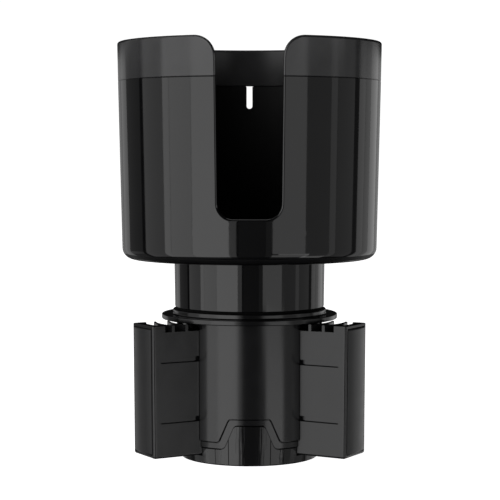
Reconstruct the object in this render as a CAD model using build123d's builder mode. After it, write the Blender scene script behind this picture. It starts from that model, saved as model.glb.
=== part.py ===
# Expanding car cup holder: a wide cup on a hollow stem turns in a slotted base, and a scroll
# under the stem drives three gripping fins in and out against the walls of a car's cup well.
# Millimetres, +Z up, origin at the middle of the base's underside, handle slot facing -Y.
from build123d import *
from math import cos, pi, radians, sin, sqrt
import os

os.makedirs("parts", exist_ok=True)

# Cup
rim_radius = 53.5
overall_height = 168.1
rim_height = 15.6
rim_wall = 2.9
rim_step = 0.3
cup_draft = 1.6
edge_round = 1.0
cup_wall = 2.4
cup_floor = 2.6
cup_underside = 80.8
cup_edge_round = 4.5
cup_inner_round = 3.0
seam_tongue_height = 2.6
seam_tongue_wall = 1.0
seam_tongue_setback = 2.0
seam_gap = 0.1

# Handle slot at the front and finger slit at the back
slot_width_low = 25.3
slot_width_high = 26.6
slot_bottom = 98.0
slot_corner = 6.0
slot_flare = 8.2
slit_width = 3.0
slit_bottom = 142.7

# Stem
stem_radius_low = 30.35
stem_radius_high = 30.6
stem_wall = 2.2
stem_root_round = 0.8

# Base housing and its cap
housing_radius = 29.7
housing_wall = 1.6
housing_floor = 1.8
band_radius = 28.96
band_side_height = 9.4
band_hump_height = 18.8
band_half_low = 12.4
band_half_high = 8.3
cap_radius = 28.67
cap_bottom_radius = 28.05
cap_wall = 1.9
cap_floor = 1.4
cap_edge_chamfer = 0.5
cap_side_height = 6.7
cap_hump_height = 16.2
cap_half_low = 10.45
cap_half_high = 6.25
hump_corner = 1.6
cap_gap = 0.3
tongue_line_half = 8.4
tongue_line_width = 0.3
tongue_line_depth = 0.2

# Cover of the base: flange, collar and neck bore
flange_radius = 35.75
flange_underside = 56.8
flange_thickness = 2.0
flange_round = 0.7
collar_radius = 31.2
collar_height = 1.6
collar_round = 0.6
cover_lip = 1.9
snap_tongue_wall = 0.8
snap_tongue_depth = 2.6

# Fins
fin_half_width = 8.96
fin_travel = 13.5
fin_rest_gap = 2.4
fin_reach_radius = 48.7
fin_bottom = 3.5
fin_side_top = 53.4
fin_outer_top = 55.6
fin_step_radius = 43.3
fin_wall = 1.5
fin_floor = 1.6
groove_depth = 0.5
groove_height = 2.0
groove_end_radius = 45.3
groove_low_height = 18.4
groove_high_height = 42.25
window_start_radius = 28.4
window_length = 1.8

# Rubber pads
pad_half_width = 7.5
pad_seat_depth = 1.4
pad_bulge = 1.0
pad_stand_out = 0.2
pad_bottom_margin = 1.2
pad_top_margin = 1.1
pad_corner = 0.8

# Scroll and the fins' teeth
tooth_pitch = 6.0
tooth_thickness = 1.2
tooth_top = 55.9
tooth_first = 23.02
tooth_arc_radius = 22.7
tooth_lean = 0.06
tooth_depth = 12.0
inner_teeth = (0, 1)
outer_teeth = (2, 3)
inner_tooth_half = 4.5
inner_tooth_lean = 0.16
scroll_rib = 2.4
scroll_rib_radius = 27.6
scroll_rib_inner = 14.5
scroll_rib_height = 2.4
scroll_plate = 1.8
scroll_starts = 3
scroll_rib_offset = 0.1
hub_radius = 25.0
hub_wall = 2.0
hub_rise = 2.4
pivot_radius = 3.0
pivot_length = 7.0
post_radius = 4.6
post_rib = 1.6
post_top = 53.0

# Clearances
slide_gap = 0.3
turn_gap = 0.3
bore_gap = 0.08
screw_gap = 0.05

# Screws
screw_radius = 1.3
screw_head_radius = 2.7
screw_head_height = 1.3
screw_recess = 0.7
stem_screw_circle_radius = 7.0
stem_screw_length = 11.0
cap_screw_circle_radius = 22.5
cap_screw_length = 12.0
boss_radius = 3.0

# Friction washer between the collar and the stem
washer_radius = 29.9
washer_thickness = 0.8
washer_gap = 0.1

fin_angles = {"left": 210.0, "right": 330.0, "rear": 90.0}
gap_angles = (30.0, 150.0, 270.0)
groove_levels = (groove_low_height, groove_high_height)
seam = overall_height - rim_height
cup_radius_high = rim_radius - rim_step
cup_radius_low = cup_radius_high - cup_draft
cup_floor_top = cup_underside + cup_floor
flange_top = flange_underside + flange_thickness
collar_top = flange_top + collar_height
stem_bottom = collar_top + washer_thickness + washer_gap
recess_top = collar_top - cover_lip
scroll_plate_top = recess_top - turn_gap
scroll_plate_bottom = scroll_plate_top - scroll_plate
housing_inner = housing_radius - housing_wall
scroll_radius = housing_inner - turn_gap
scroll_recess_radius = scroll_radius + turn_gap
housing_floor_top = cap_floor + housing_floor
channel_half = fin_half_width + slide_gap
guide_half = channel_half + housing_wall * 0.75
cap_seat_radius = cap_radius - cap_wall - cap_gap
hub_top = stem_bottom + hub_rise
tongue_middle = (cup_radius_high + rim_radius - rim_wall) / 2
far = 2 * rim_radius
scroll_lead = tooth_pitch * scroll_starts
fin_inner_end = post_radius + fin_rest_gap + fin_travel
inner_teeth_end = tooth_first + tooth_pitch + 2 * tooth_thickness


def facing(angle, height=0.0):
    """Upright plane through the axis: x runs round the part, y up, and its normal points outward."""
    turn = radians(angle)
    return Plane(origin=(0, 0, height), x_dir=(-sin(turn), cos(turn), 0), z_dir=(cos(turn), sin(turn), 0))


def deck(angle, height):
    """Level plane at a height: x points outward along the angle and y runs round the part."""
    turn = radians(angle)
    return Plane(origin=(0, 0, height), x_dir=(cos(turn), sin(turn), 0), z_dir=(0, 0, 1))


def corner(sketch, x, y):
    """The vertex of a sketch that lies nearest a point."""
    return sketch.vertices().sort_by_distance((x, y, 0))[0]


def under_stepped_edge(bottom, side_top, hump_top, half_low, half_high):
    """Body under a level line that steps up over a hump between each two fins."""
    outer = housing_radius + slide_gap
    with BuildPart() as skirt:
        for angle in gap_angles:
            with BuildSketch(facing(angle)) as line:
                with BuildLine():
                    Polyline(
                        (-outer, bottom),
                        (outer, bottom),
                        (outer, side_top),
                        (half_low, side_top),
                        (half_high, hump_top),
                        (-half_high, hump_top),
                        (-half_low, side_top),
                        (-outer, side_top),
                        close=True,
                    )
                make_face()
                for side in (-1, 1):
                    fillet(corner(line, side * half_low, side_top), hump_corner)
                    fillet(corner(line, side * half_high, hump_top), hump_corner)
            extrude(amount=outer)
    return skirt.part


def lower_edge_ring(inner, side_top, hump_top, half_low, half_high):
    """Cutter for the housing's lower edge: all that lies under the stepped line and outside a radius."""
    with BuildPart() as ring:
        add(under_stepped_edge(cap_floor, side_top, hump_top, half_low, half_high))
        with BuildSketch(Plane.XY.offset(cap_floor)):
            Circle(inner)
        extrude(amount=hump_top, mode=Mode.SUBTRACT)
    return ring.part


def handle_slot():
    """Cutter for the front slot: nearly upright sides, round lower corners and a flare at the rim."""
    half_low = slot_width_low / 2
    half_high = slot_width_high / 2
    with BuildPart() as slot:
        with BuildSketch(facing(270)) as outline:
            with BuildLine():
                Polyline(
                    (-half_low, slot_bottom),
                    (half_low, slot_bottom),
                    (half_high, overall_height),
                    (rim_radius, overall_height),
                    (rim_radius, overall_height + slot_flare),
                    (-rim_radius, overall_height + slot_flare),
                    (-rim_radius, overall_height),
                    (-half_high, overall_height),
                    close=True,
                )
            make_face()
            for side in (-1, 1):
                fillet(corner(outline, side * half_low, slot_bottom), slot_corner)
                fillet(corner(outline, side * half_high, overall_height), slot_flare)
        extrude(amount=far)
    return slot.part


def seam_tongue(clearance):
    """Ring that stands on the cup's wall and ends short of the slot, grown by a clearance."""
    with BuildPart() as tongue:
        with BuildSketch(Plane.XY.offset(seam)):
            Circle(tongue_middle + seam_tongue_wall / 2 + clearance)
            Circle(tongue_middle - seam_tongue_wall / 2 - clearance, mode=Mode.SUBTRACT)
            Rectangle(
                slot_width_high + 2 * (seam_tongue_setback - clearance),
                far,
                align=(Align.CENTER, Align.MAX),
                mode=Mode.SUBTRACT,
            )
        extrude(amount=seam_tongue_height + clearance)
    return tongue.part


def slot_edges(wall):
    """Edges that the front slot leaves on a wall's inner and outer faces."""
    slot_reach = slot_width_high / 2 + slot_flare
    return wall.edges().filter_by(
        lambda edge: edge.geom_type != GeomType.LINE
        and abs(edge.center().X) < slot_reach
        and edge.center().Y < -stem_radius_low
        and edge.center().Z > slot_bottom - edge_round
    )


def screws(circle, turn, underside, length):
    """Three countersunk screws on a circle, driven upward, each with a cross recess."""
    with BuildPart() as group:
        with PolarLocations(circle, 3, start_angle=turn):
            with Locations((0, 0, underside)):
                Cone(
                    screw_head_radius,
                    screw_radius,
                    screw_head_height,
                    align=(Align.CENTER, Align.CENTER, Align.MIN),
                )
                Cylinder(screw_radius, length, align=(Align.CENTER, Align.CENTER, Align.MIN))
                for width, depth in ((screw_head_radius, screw_recess), (screw_recess, screw_head_radius)):
                    Box(
                        width,
                        depth,
                        screw_recess,
                        align=(Align.CENTER, Align.CENTER, Align.MIN),
                        mode=Mode.SUBTRACT,
                    )
    return group.part


# Cup and stem, one moulding: drafted wall, floor, hollow stem and three screw bosses inside it
with BuildPart() as cup_body:
    with BuildSketch(Plane.XZ) as section:
        with BuildLine():
            Polyline(
                (0, cup_floor_top),
                (cup_radius_low - cup_wall, cup_floor_top),
                (cup_radius_high - cup_wall, seam),
                (cup_radius_high, seam),
                (cup_radius_low, cup_underside),
                (stem_radius_high, cup_underside),
                (stem_radius_low, stem_bottom),
                (stem_radius_low - stem_wall, stem_bottom),
                (stem_radius_low - stem_wall, cup_underside),
                (0, cup_underside),
                close=True,
            )
        make_face()
        fillet(corner(section, cup_radius_low, cup_underside), cup_edge_round)
        fillet(corner(section, cup_radius_low - cup_wall, cup_floor_top), cup_inner_round)
        fillet(corner(section, stem_radius_high, cup_underside), stem_root_round)
    revolve(axis=Axis.Z)
    with BuildSketch(Plane.XY.offset(scroll_plate_top)):
        with PolarLocations(stem_screw_circle_radius, 3, start_angle=gap_angles[0]):
            Circle(boss_radius)
    extrude(amount=cup_underside - scroll_plate_top)
    with BuildSketch(Plane.XY.offset(scroll_plate_top)):
        with PolarLocations(stem_screw_circle_radius, 3, start_angle=gap_angles[0]):
            Circle(screw_radius + screw_gap)
    extrude(amount=stem_screw_length, mode=Mode.SUBTRACT)
    add(handle_slot(), mode=Mode.SUBTRACT)
    fillet(slot_edges(cup_body), edge_round)
    add(seam_tongue(0.0))
    slit_end = slit_bottom + slit_width / 2
    with BuildSketch(facing(90)):
        with Locations((0, slit_end)):
            Circle(slit_width / 2)
            Rectangle(slit_width, overall_height - slit_end, align=(Align.CENTER, Align.MIN))
    extrude(amount=far, mode=Mode.SUBTRACT)
cup_body.part.label = "cup_body"
export_step(cup_body.part, "parts/cup_body.step")

# Rim ring: an open collar that slips over the tongue on the cup's wall
with BuildPart() as rim_ring:
    with BuildSketch(Plane.XZ) as section:
        with BuildLine():
            Polyline(
                (rim_radius - rim_wall, seam),
                (cup_radius_high, seam),
                (rim_radius, overall_height),
                (rim_radius - rim_wall, overall_height),
                close=True,
            )
        make_face()
    revolve(axis=Axis.Z)
    add(handle_slot(), mode=Mode.SUBTRACT)
    top_edges = rim_ring.edges().filter_by(GeomType.CIRCLE).group_by(Axis.Z)[-1]
    fillet(slot_edges(rim_ring) + top_edges, edge_round)
    add(seam_tongue(seam_gap), mode=Mode.SUBTRACT)
rim_ring.part.label = "rim_ring"
export_step(rim_ring.part, "parts/rim_ring.step")

# Scroll disc: three spiral ribs under a plate, a ring that turns in the cover's bore and a pivot pin
with BuildPart() as scroll_disc:
    with BuildSketch(Plane.XY.offset(scroll_plate_bottom)):
        Circle(scroll_radius)
    extrude(amount=scroll_plate)
    with BuildSketch(Plane.XY.offset(scroll_plate_top)):
        Circle(hub_radius)
        Circle(hub_radius - hub_wall, mode=Mode.SUBTRACT)
    extrude(amount=hub_top - scroll_plate_top)
    middle = tooth_first + scroll_rib_offset + tooth_pitch / 2
    first_turn = (scroll_rib_inner - scroll_rib - middle) / scroll_lead * 360
    last_turn = (scroll_rib_radius + scroll_rib - middle) / scroll_lead * 360
    steps = 14
    turns = [first_turn + (last_turn - first_turn) * step / steps for step in range(steps + 1)]
    with BuildSketch(Plane.XY.offset(scroll_plate_bottom)):
        for start in fin_angles.values():
            with BuildLine():
                edges = []
                for side in (-1, 1):
                    curve = [
                        Vector(middle + scroll_lead * turn / 360 + side * scroll_rib / 2, 0, 0)
                        .rotate(Axis.Z, start + turn)
                        for turn in turns
                    ]
                    edges.append(Spline(*curve))
                Line(edges[0] @ 0, edges[1] @ 0)
                Line(edges[0] @ 1, edges[1] @ 1)
            make_face()
        Circle(scroll_rib_radius, mode=Mode.INTERSECT)
        Circle(scroll_rib_inner, mode=Mode.SUBTRACT)
    extrude(amount=-scroll_rib_height)
    with BuildSketch(Plane.XY.offset(scroll_plate_bottom)):
        Circle(pivot_radius)
    extrude(amount=-pivot_length)
    with Locations(Plane.XY.offset(scroll_plate_bottom).rotated((180, 0, 0))):
        with PolarLocations(stem_screw_circle_radius, 3, start_angle=-gap_angles[0]):
            CounterSinkHole(screw_radius + screw_gap, screw_head_radius + screw_gap, scroll_plate)
scroll_disc.part.label = "scroll_disc"
export_step(scroll_disc.part, "parts/scroll_disc.step")

scroll_screws = screws(stem_screw_circle_radius, gap_angles[0], scroll_plate_bottom, stem_screw_length)
scroll_screws.label = "scroll_screws"
export_step(scroll_screws, "parts/scroll_screws.step")

# Friction washer: it carries the stem and keeps the twist from working loose
with BuildPart() as friction_washer:
    with BuildSketch(Plane.XY.offset(collar_top)):
        Circle(washer_radius)
        Circle(hub_radius + turn_gap, mode=Mode.SUBTRACT)
    extrude(amount=washer_thickness)
friction_washer.part.label = "friction_washer"
export_step(friction_washer.part, "parts/friction_washer.step")

# Base cover: flange, collar, neck bore, recess for the scroll plate and three snap tongues
with BuildPart() as base_cover:
    with BuildSketch(Plane.XZ) as section:
        with BuildLine():
            Polyline(
                (hub_radius + turn_gap, recess_top),
                (scroll_recess_radius, recess_top),
                (scroll_recess_radius, flange_underside),
                (flange_radius, flange_underside),
                (flange_radius, flange_top),
                (collar_radius, flange_top),
                (collar_radius, collar_top),
                (hub_radius + turn_gap, collar_top),
                close=True,
            )
        make_face()
        fillet(corner(section, flange_radius, flange_underside), flange_round)
        fillet(corner(section, flange_radius, flange_top), flange_round)
        fillet(corner(section, collar_radius, collar_top), collar_round)
    revolve(axis=Axis.Z)
    with BuildSketch(Plane.XY.offset(flange_underside)):
        Circle(scroll_recess_radius + snap_tongue_wall)
        Circle(scroll_recess_radius, mode=Mode.SUBTRACT)
        with PolarLocations(0, 3, start_angle=fin_angles["rear"]):
            Rectangle(
                far,
                2 * (channel_half + slide_gap),
                align=(Align.MIN, Align.CENTER),
                mode=Mode.SUBTRACT,
            )
    extrude(amount=-snap_tongue_depth)
base_cover.part.label = "base_cover"
export_step(base_cover.part, "parts/base_cover.step")

# Base housing: slotted tube on a floor, guide walls for the fins, centre post and cap bosses
with BuildPart() as base_housing:
    with BuildSketch(Plane.XY.offset(cap_floor)):
        Circle(housing_radius)
    extrude(amount=flange_underside - cap_floor)
    with BuildSketch(Plane.XY.offset(fin_side_top)):
        Circle(scroll_recess_radius)
    extrude(amount=flange_underside - fin_side_top, mode=Mode.SUBTRACT)
    with BuildSketch(Plane.XY.offset(flange_underside)):
        Circle(scroll_recess_radius + snap_tongue_wall + seam_gap)
    extrude(amount=-snap_tongue_depth - seam_gap, mode=Mode.SUBTRACT)
    with BuildSketch(Plane.XY.offset(housing_floor_top)):
        with PolarLocations(0, 3, start_angle=fin_angles["rear"]):
            Rectangle(far, 2 * channel_half, align=(Align.MIN, Align.CENTER))
    extrude(amount=flange_underside - housing_floor_top, mode=Mode.SUBTRACT)
    lower_pocket = (housing_floor_top, cap_seat_radius - housing_wall)
    upper_pocket = (band_hump_height + housing_wall, housing_inner)
    for pocket_bottom, pocket_radius in (lower_pocket, upper_pocket):
        with BuildSketch(Plane.XY.offset(pocket_bottom)):
            Circle(pocket_radius)
            with PolarLocations(0, 3, start_angle=fin_angles["rear"]):
                Rectangle(far, 2 * guide_half, align=(Align.MIN, Align.CENTER), mode=Mode.SUBTRACT)
        extrude(amount=fin_side_top - pocket_bottom, mode=Mode.SUBTRACT)
    with BuildSketch(Plane.XY.offset(housing_floor_top)):
        Circle(post_radius)
        with PolarLocations(0, 3, start_angle=gap_angles[0]):
            Rectangle(channel_half / sin(pi / 3) + housing_wall, post_rib, align=(Align.MIN, Align.CENTER))
    extrude(amount=post_top - housing_floor_top)
    with BuildSketch(Plane.XY.offset(post_top)):
        Circle(pivot_radius + bore_gap)
    extrude(amount=-pivot_length, mode=Mode.SUBTRACT)
    with BuildSketch(Plane.XY.offset(housing_floor_top)):
        with PolarLocations(cap_screw_circle_radius, 3, start_angle=gap_angles[0]):
            Circle(boss_radius)
    extrude(amount=cap_screw_length)
    with BuildSketch(Plane.XY.offset(cap_floor)):
        with PolarLocations(cap_screw_circle_radius, 3, start_angle=gap_angles[0]):
            Circle(screw_radius + screw_gap)
    extrude(amount=cap_screw_length, mode=Mode.SUBTRACT)
    for level in groove_levels:
        with BuildSketch(Plane.XY.offset(level - groove_height / 2 + slide_gap)):
            for side in (-1, 1):
                with PolarLocations(0, 3, start_angle=fin_angles["rear"]):
                    with Locations((guide_half / sin(pi / 3), side * channel_half)):
                        Rectangle(
                            housing_inner - guide_half / sin(pi / 3),
                            2 * groove_depth,
                            align=(Align.MIN, Align.CENTER),
                        )
        extrude(amount=groove_height - 2 * slide_gap)
    add(
        lower_edge_ring(
            band_radius, band_side_height, band_hump_height, band_half_low, band_half_high
        ),
        mode=Mode.SUBTRACT,
    )
    add(
        lower_edge_ring(
            cap_seat_radius, cap_side_height, cap_hump_height, cap_half_low, cap_half_high
        ),
        mode=Mode.SUBTRACT,
    )
base_housing.part.label = "base_housing"
export_step(base_housing.part, "parts/base_housing.step")

# Bottom cap: glossy dish whose wall steps up over a hump between each two fins
with BuildPart() as bottom_cap:
    with BuildSketch(Plane.XZ) as section:
        with BuildLine():
            Polyline(
                (0, 0),
                (cap_bottom_radius, 0),
                (cap_radius, cap_side_height),
                (cap_radius, cap_hump_height),
                (cap_radius - cap_wall, cap_hump_height),
                (cap_radius - cap_wall, cap_floor),
                (0, cap_floor),
                close=True,
            )
        make_face()
        chamfer(corner(section, cap_bottom_radius, 0), cap_edge_chamfer)
    revolve(axis=Axis.Z)
    add(
        under_stepped_edge(
            0.0,
            cap_side_height - cap_gap,
            cap_hump_height - cap_gap,
            cap_half_low - cap_gap,
            cap_half_high - cap_gap,
        ),
        mode=Mode.INTERSECT,
    )
    with BuildSketch(Plane.XY.offset(housing_floor_top)):
        with PolarLocations(0, 3, start_angle=fin_angles["rear"]):
            Rectangle(far, 2 * channel_half, align=(Align.MIN, Align.CENTER))
    extrude(amount=cap_hump_height, mode=Mode.SUBTRACT)
    with PolarLocations(cap_screw_circle_radius, 3, start_angle=gap_angles[0]):
        with Locations((0, 0, screw_head_height)):
            Cone(
                screw_head_radius + screw_gap,
                screw_radius + screw_gap,
                screw_head_height,
                align=(Align.CENTER, Align.CENTER, Align.MAX),
                mode=Mode.SUBTRACT,
            )
        Cylinder(screw_radius + screw_gap, far, mode=Mode.SUBTRACT)
    tongue_line_radius = sqrt(cap_radius**2 - tongue_line_half**2)
    for angle in gap_angles:
        with BuildSketch(deck(angle, cap_floor)):
            for side in (-1, 1):
                with Locations((tongue_line_radius, side * tongue_line_half)):
                    Rectangle(2 * tongue_line_depth, tongue_line_width)
        extrude(amount=cap_hump_height, mode=Mode.SUBTRACT)
bottom_cap.part.label = "bottom_cap"
export_step(bottom_cap.part, "parts/bottom_cap.step")

cap_screws = screws(cap_screw_circle_radius, gap_angles[0], 0.0, cap_screw_length)
cap_screws.label = "cap_screws"
export_step(cap_screws, "parts/cap_screws.step")


def tooth_line(rest, lean, offset):
    """Three points of a tooth's side: an arc bowed outward, leaning with the scroll."""
    half = fin_half_width
    sagitta = tooth_arc_radius - sqrt(tooth_arc_radius**2 - half**2)
    return (
        (rest + offset - sagitta - lean * half, -half),
        (rest + offset, 0),
        (rest + offset - sagitta + lean * half, half),
    )


def tooth(index, lean):
    """Outline of a tooth between its two arcs, counted from the fin's inner end."""
    rest = tooth_first + index * tooth_pitch
    with BuildSketch() as outline:
        with BuildLine():
            inner = ThreePointArc(*tooth_line(rest, lean, -tooth_thickness / 2))
            outer = ThreePointArc(*tooth_line(rest, lean, tooth_thickness / 2))
            Line(inner @ 0, outer @ 0)
            Line(inner @ 1, outer @ 1)
        make_face()
    return outline.sketch


# Fins: hollow boxes open at the top, with teeth across them, side grooves and a seat for the pad
for side_name, angle in fin_angles.items():
    with BuildPart() as fin_carrier:
        with BuildSketch(deck(angle, fin_bottom)):
            with Locations((fin_inner_end, 0)):
                Rectangle(
                    fin_reach_radius - fin_inner_end, 2 * fin_half_width, align=(Align.MIN, Align.CENTER)
                )
        extrude(amount=fin_side_top - fin_bottom)
        with BuildSketch(deck(angle, fin_bottom)):
            with Locations((fin_step_radius, 0)):
                Rectangle(
                    fin_reach_radius - fin_step_radius, 2 * fin_half_width, align=(Align.MIN, Align.CENTER)
                )
        extrude(amount=fin_outer_top - fin_bottom)
        pocket_end = fin_reach_radius - pad_seat_depth - fin_wall
        with BuildSketch(deck(angle, fin_bottom + fin_floor)):
            with Locations((fin_inner_end + fin_wall, 0)):
                Rectangle(
                    pocket_end - fin_inner_end - fin_wall,
                    2 * (fin_half_width - fin_wall),
                    align=(Align.MIN, Align.CENTER),
                )
        extrude(amount=fin_outer_top, mode=Mode.SUBTRACT)
        for level in groove_levels:
            with BuildSketch(deck(angle, level - groove_height / 2)):
                for side in (-1, 1):
                    with Locations((fin_inner_end, side * fin_half_width)):
                        Rectangle(
                            groove_end_radius - fin_inner_end,
                            2 * groove_depth,
                            align=(Align.MIN, Align.CENTER),
                        )
                    with Locations((window_start_radius, side * fin_half_width)):
                        Rectangle(window_length, 2 * fin_wall, align=(Align.MIN, Align.CENTER))
            extrude(amount=groove_height, mode=Mode.SUBTRACT)
        with BuildSketch(deck(angle, tooth_top)):
            for index in inner_teeth:
                add(tooth(index, inner_tooth_lean))
            with Locations((fin_inner_end + fin_wall / 2, 0)):
                Rectangle(
                    pocket_end - fin_inner_end,
                    2 * fin_half_width - fin_wall,
                    align=(Align.MIN, Align.CENTER),
                    mode=Mode.INTERSECT,
                )
            for index in outer_teeth:
                add(tooth(index, tooth_lean))
        extrude(amount=-tooth_depth)
        with BuildSketch(deck(angle, fin_side_top)):
            with Locations((fin_inner_end, inner_tooth_half)):
                Rectangle(inner_teeth_end - fin_inner_end, fin_half_width, align=(Align.MIN, Align.MIN))
            with Locations((fin_inner_end, -inner_tooth_half)):
                Rectangle(inner_teeth_end - fin_inner_end, fin_half_width, align=(Align.MIN, Align.MAX))
        extrude(amount=tooth_depth, mode=Mode.SUBTRACT)
        with BuildSketch(deck(angle, fin_bottom + pad_bottom_margin)):
            with Locations((fin_reach_radius, 0)):
                Rectangle(2 * pad_seat_depth, 2 * pad_half_width, align=(Align.CENTER, Align.CENTER))
        extrude(
            amount=fin_outer_top - pad_top_margin - fin_bottom - pad_bottom_margin, mode=Mode.SUBTRACT
        )
    fin_carrier.part.label = f"fin_carrier_{side_name}"
    export_step(fin_carrier.part, f"parts/fin_carrier_{side_name}.step")

    pad_half = pad_half_width - seam_gap
    pad_base = fin_reach_radius - pad_seat_depth
    with BuildPart() as fin_pad:
        with BuildSketch(deck(angle, fin_bottom + pad_bottom_margin + seam_gap)):
            with BuildLine():
                Polyline(
                    (fin_reach_radius + pad_stand_out, -pad_half),
                    (pad_base, -pad_half),
                    (pad_base, pad_half),
                    (fin_reach_radius + pad_stand_out, pad_half),
                )
                ThreePointArc(
                    (fin_reach_radius + pad_stand_out, -pad_half),
                    (fin_reach_radius + pad_bulge, 0),
                    (fin_reach_radius + pad_stand_out, pad_half),
                )
            make_face()
        extrude(amount=fin_outer_top - pad_top_margin - fin_bottom - pad_bottom_margin - 2 * seam_gap)
        for end in (0, -1):
            fillet(fin_pad.faces().sort_by(Axis.Z)[end].edges().filter_by(GeomType.CIRCLE), pad_corner)
    fin_pad.part.label = f"fin_pad_{side_name}"
    export_step(fin_pad.part, f"parts/fin_pad_{side_name}.step")
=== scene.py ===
"""Expanding car cup holder: the looks of its mouldings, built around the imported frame.

Sizes are kept in metres in the properties and worked with in millimetres. An angle runs round the part
from its front, where the handle slot is, toward its right.
"""
from math import asin, cos, pi, radians, sin, tan
from types import SimpleNamespace

import bmesh
import bpy
import numpy as np
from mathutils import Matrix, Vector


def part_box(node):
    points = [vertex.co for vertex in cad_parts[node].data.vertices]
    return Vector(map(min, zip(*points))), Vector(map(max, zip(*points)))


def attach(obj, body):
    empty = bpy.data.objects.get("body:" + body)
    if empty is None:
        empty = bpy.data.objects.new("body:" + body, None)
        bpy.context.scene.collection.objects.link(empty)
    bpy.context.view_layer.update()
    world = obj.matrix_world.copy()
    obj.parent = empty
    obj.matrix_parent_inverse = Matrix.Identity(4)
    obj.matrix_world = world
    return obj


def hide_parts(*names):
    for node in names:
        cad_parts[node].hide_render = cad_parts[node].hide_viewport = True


bl_info = {
    "name": "Expanding Car Cup Holder",
    "version": (1, 0, 0),
    "blender": (4, 5, 0),
    "location": "View3D > Sidebar > Cup Holder",
    "description": "Builds the mouldings, rubber pads and finishes of an expanding car cup holder",
    "category": "Object",
}

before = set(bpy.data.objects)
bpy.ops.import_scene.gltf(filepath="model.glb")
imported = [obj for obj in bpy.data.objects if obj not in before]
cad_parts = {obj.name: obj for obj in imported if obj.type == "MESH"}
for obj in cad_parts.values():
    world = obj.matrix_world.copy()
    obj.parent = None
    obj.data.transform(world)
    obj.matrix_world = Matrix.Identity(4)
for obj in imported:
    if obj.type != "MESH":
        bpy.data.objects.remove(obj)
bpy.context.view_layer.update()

MM = 0.001
# Turns of the fins, and of the gaps between them
FIN_TURNS = {"left": -60.0, "right": 60.0, "rear": 180.0}
GAP_TURNS = (0.0, 120.0, 240.0)
# Weight of a conic's middle point that makes it a quarter circle, and the turn in degrees past which two
# faces meet in a sharp edge
CIRCLE_WEIGHT, SHARP_TURN = 0.7071, 32.0
# In mm: the circle of the cap's screws, half the groove at the rim's seam, and the stepped edges of the
# housing and the cap, each as its low and its high level and the half widths there
SCREW_CIRCLE, SEAM_GAP = 22.5, 0.25
BAND_STEP, CAP_STEP, CAP_CORNER = (9.4, 18.8, 12.4, 8.3), (6.7, 16.2, 10.45, 6.25), 2.2


def lowest(node, axis=2):
    """The lowest coordinate of a node along an axis, in metres."""
    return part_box(node)[0][axis]


def highest(node, axis=2):
    """The highest coordinate of a node along an axis, in metres."""
    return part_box(node)[1][axis]


def linear(colour):
    """sRGB hex to linear: a channel under 0.04045 is divided by 12.92, else ((c + 0.055) / 1.055) ^ 2.4."""
    channels = [int(colour[i : i + 2], 16) / 255 for i in (1, 3, 5)]
    return tuple(c / 12.92 if c <= 0.04045 else ((c + 0.055) / 1.055) ** 2.4 for c in channels)


# Sizes and colours that a user would change


def size(name, description, default):
    """A length property, kept in metres."""
    return bpy.props.FloatProperty(
        name=name, description=description, default=default, min=0.0, unit="LENGTH", precision=5
    )


def colour(name, description, default):
    """A colour property from an sRGB hex value."""
    return bpy.props.FloatVectorProperty(
        name=name, description=description, default=linear(default), subtype="COLOR", min=0.0, max=1.0
    )


class CupHolderCupSizes(bpy.types.PropertyGroup):
    """Sizes of the cup, its stem and its rim ring"""

    rim_radius: size("Rim radius", "Outer radius at the top edge", highest("rim_ring", 0) + 0.00002)
    rim_wall: size("Rim wall", "Thickness of the rim ring", 0.0029)
    top: size("Top", "Height of the top edge", highest("rim_ring"))
    seam: size("Seam", "Height of the seam between cup and rim ring", lowest("rim_ring"))
    wall: size("Wall", "Thickness of the cup's wall", 0.0024)
    radius_high: size("Upper radius", "Outer radius of the cup at the seam", 0.0532)
    radius_low: size("Lower radius", "Outer radius of the cup at its underside", 0.0516)
    underside: size("Underside", "Height of the cup's underside", 0.0808)
    floor: size("Floor", "Thickness of the cup's floor", 0.0026)
    foot_round: size("Foot round", "Rounding of the cup's lower edge", 0.0045)
    edge_round: size("Edge round", "Rounding of the slot's and the rim's edges", 0.001)
    slot_low: size("Slot half width, low", "Half width of the handle slot at its bottom", 0.0121)
    slot_high: size("Slot half width, high", "Half width of the handle slot at the top", 0.01285)
    slot_bottom: size("Slot bottom", "Height of the handle slot's bottom", 0.0985)
    slot_corner: size("Slot corner", "Radius of the handle slot's lower corners", 0.006)
    slot_flare: size("Slot flare", "Radius of the rim's round corners at the slot", 0.0082)
    slit_half: size("Slit half width", "Half width of the finger slit at the back", 0.00125)
    slit_bottom: size("Slit bottom", "Height of the finger slit's lower end", 0.1427)
    stem_high: size("Stem radius, high", "Outer radius of the stem at the cup", 0.0306)
    stem_low: size("Stem radius, low", "Outer radius of the stem at its lower end", 0.03035)
    stem_bottom: size("Stem bottom", "Height of the stem's lower end", lowest("cup_body") + 0.00304)


class CupHolderBaseSizes(bpy.types.PropertyGroup):
    """Sizes of the base, its cover and its cap"""

    radius: size("Housing radius", "Outer radius of the housing", 0.0297)
    wall: size("Housing wall", "Thickness of the housing's wall", 0.0016)
    band_radius: size("Band radius", "Radius of the recessed band over the cap", 0.02896)
    cap_radius: size("Cap radius", "Outer radius of the bottom cap", 0.02867)
    cap_foot: size("Cap foot radius", "Radius of the bottom cap at its underside", 0.02805)
    channel_half: size("Channel half width", "Half width of a fin's channel", 0.00926)
    flange_radius: size("Flange radius", "Outer radius of the cover's flange", highest("base_cover", 0))
    flange_underside: size("Flange underside", "Height of the flange's underside", 0.0568)
    flange_lip: size("Flange lip", "Height of the lip's lower edge round the housing", 0.0564)
    flange_top: size("Flange top", "Height of the flange's top", 0.05845)
    collar_radius: size("Collar radius", "Outer radius of the cover's collar", 0.0312)
    collar_top: size("Collar top", "Height of the collar's top", highest("base_cover"))


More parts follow.
